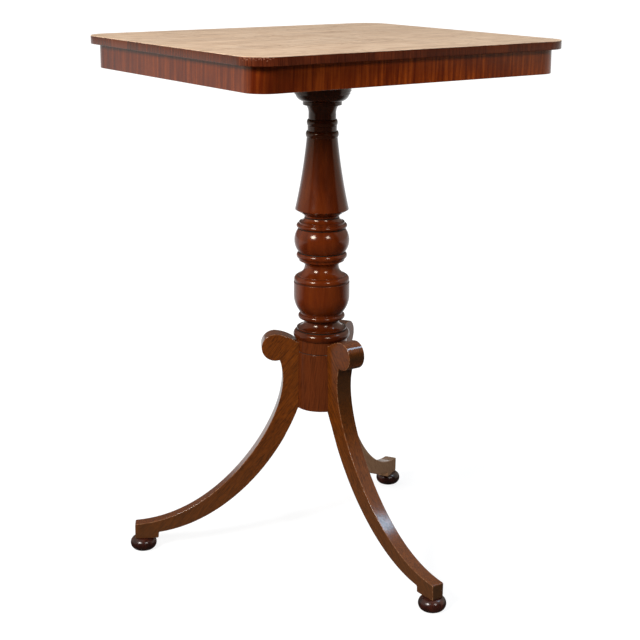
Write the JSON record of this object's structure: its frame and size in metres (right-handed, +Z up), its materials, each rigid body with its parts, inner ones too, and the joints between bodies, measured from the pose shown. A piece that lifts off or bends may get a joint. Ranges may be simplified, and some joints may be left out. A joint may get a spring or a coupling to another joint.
{
  "type": "wine table",
  "caption": "Free-standing tripod wine table: round-cornered rectangular top with a shallow apron on a turned pillar, with scrolled sabre legs on bun feet.",
  "frame": {"origin": "on the floor, in the middle of the rectangle that the top and the feet together cover", "axes": "+Z up; +X to the right along the top's long side; -Y to the front, the way the single front leg points; the pillar's axis is at y = +26.95 mm"},
  "size_m": [0.492, 0.489, 0.72],
  "materials": {
    "faded_top": "sun-faded figured veneer, waxed, low sheen",
    "edge_strips": "cross-grained strips, French polished, worn on the upper edge",
    "facings": "upright-grained facing, French polished",
    "carcass_pine": "unpolished deal, aged",
    "turned_mahogany": "deep red-brown, French polished, glossy",
    "leg_mahogany": "brown, French polished, edges rubbed",
    "dark_mahogany": "stained dark and polished",
    "wrought_iron": "blackened hand-forged iron",
    "old_screws": "dull iron with a brown bloom"
  },
  "bodies": {
    "root": {"top_board": "carcass_pine", "top_veneer": "faded_top", "edge_strip_front": "edge_strips", "edge_strip_right": "edge_strips", "edge_strip_back": "edge_strips", "edge_strip_left": "edge_strips", "edge_corner_front_left": "edge_strips", "edge_corner_front_right": "edge_strips", "edge_corner_back_right": "edge_strips", "edge_corner_back_left": "edge_strips", "rail_front": "carcass_pine", "rail_right": "carcass_pine", "rail_back": "carcass_pine", "rail_left": "carcass_pine", "corner_block_front_left": "carcass_pine", "corner_block_front_right": "carcass_pine", "corner_block_back_right": "carcass_pine", "corner_block_back_left": "carcass_pine", "facing_front": "facings", "facing_right": "facings", "facing_back": "facings", "facing_left": "facings", "facing_corner_front_left": "facings", "facing_corner_front_right": "facings", "facing_corner_back_right": "facings", "facing_corner_back_left": "facings", "glue_block_front_left": "carcass_pine", "glue_block_front_right": "carcass_pine", "glue_block_right_front": "carcass_pine", "glue_block_right_back": "carcass_pine", "glue_block_back_right": "carcass_pine", "glue_block_back_left": "carcass_pine", "glue_block_left_back": "carcass_pine", "glue_block_left_front": "carcass_pine", "bearer": "carcass_pine", "bearer_screws": "old_screws", "brace_screws": "old_screws", "pillar": "turned_mahogany", "pillar_wedge": "carcass_pine", "leg_front": "leg_mahogany", "leg_back_right": "leg_mahogany", "leg_back_left": "leg_mahogany", "bun_foot_front": "dark_mahogany", "bun_foot_back_right": "dark_mahogany", "bun_foot_back_left": "dark_mahogany", "brace_plate": "wrought_iron"}
  },
  "joints": []
}
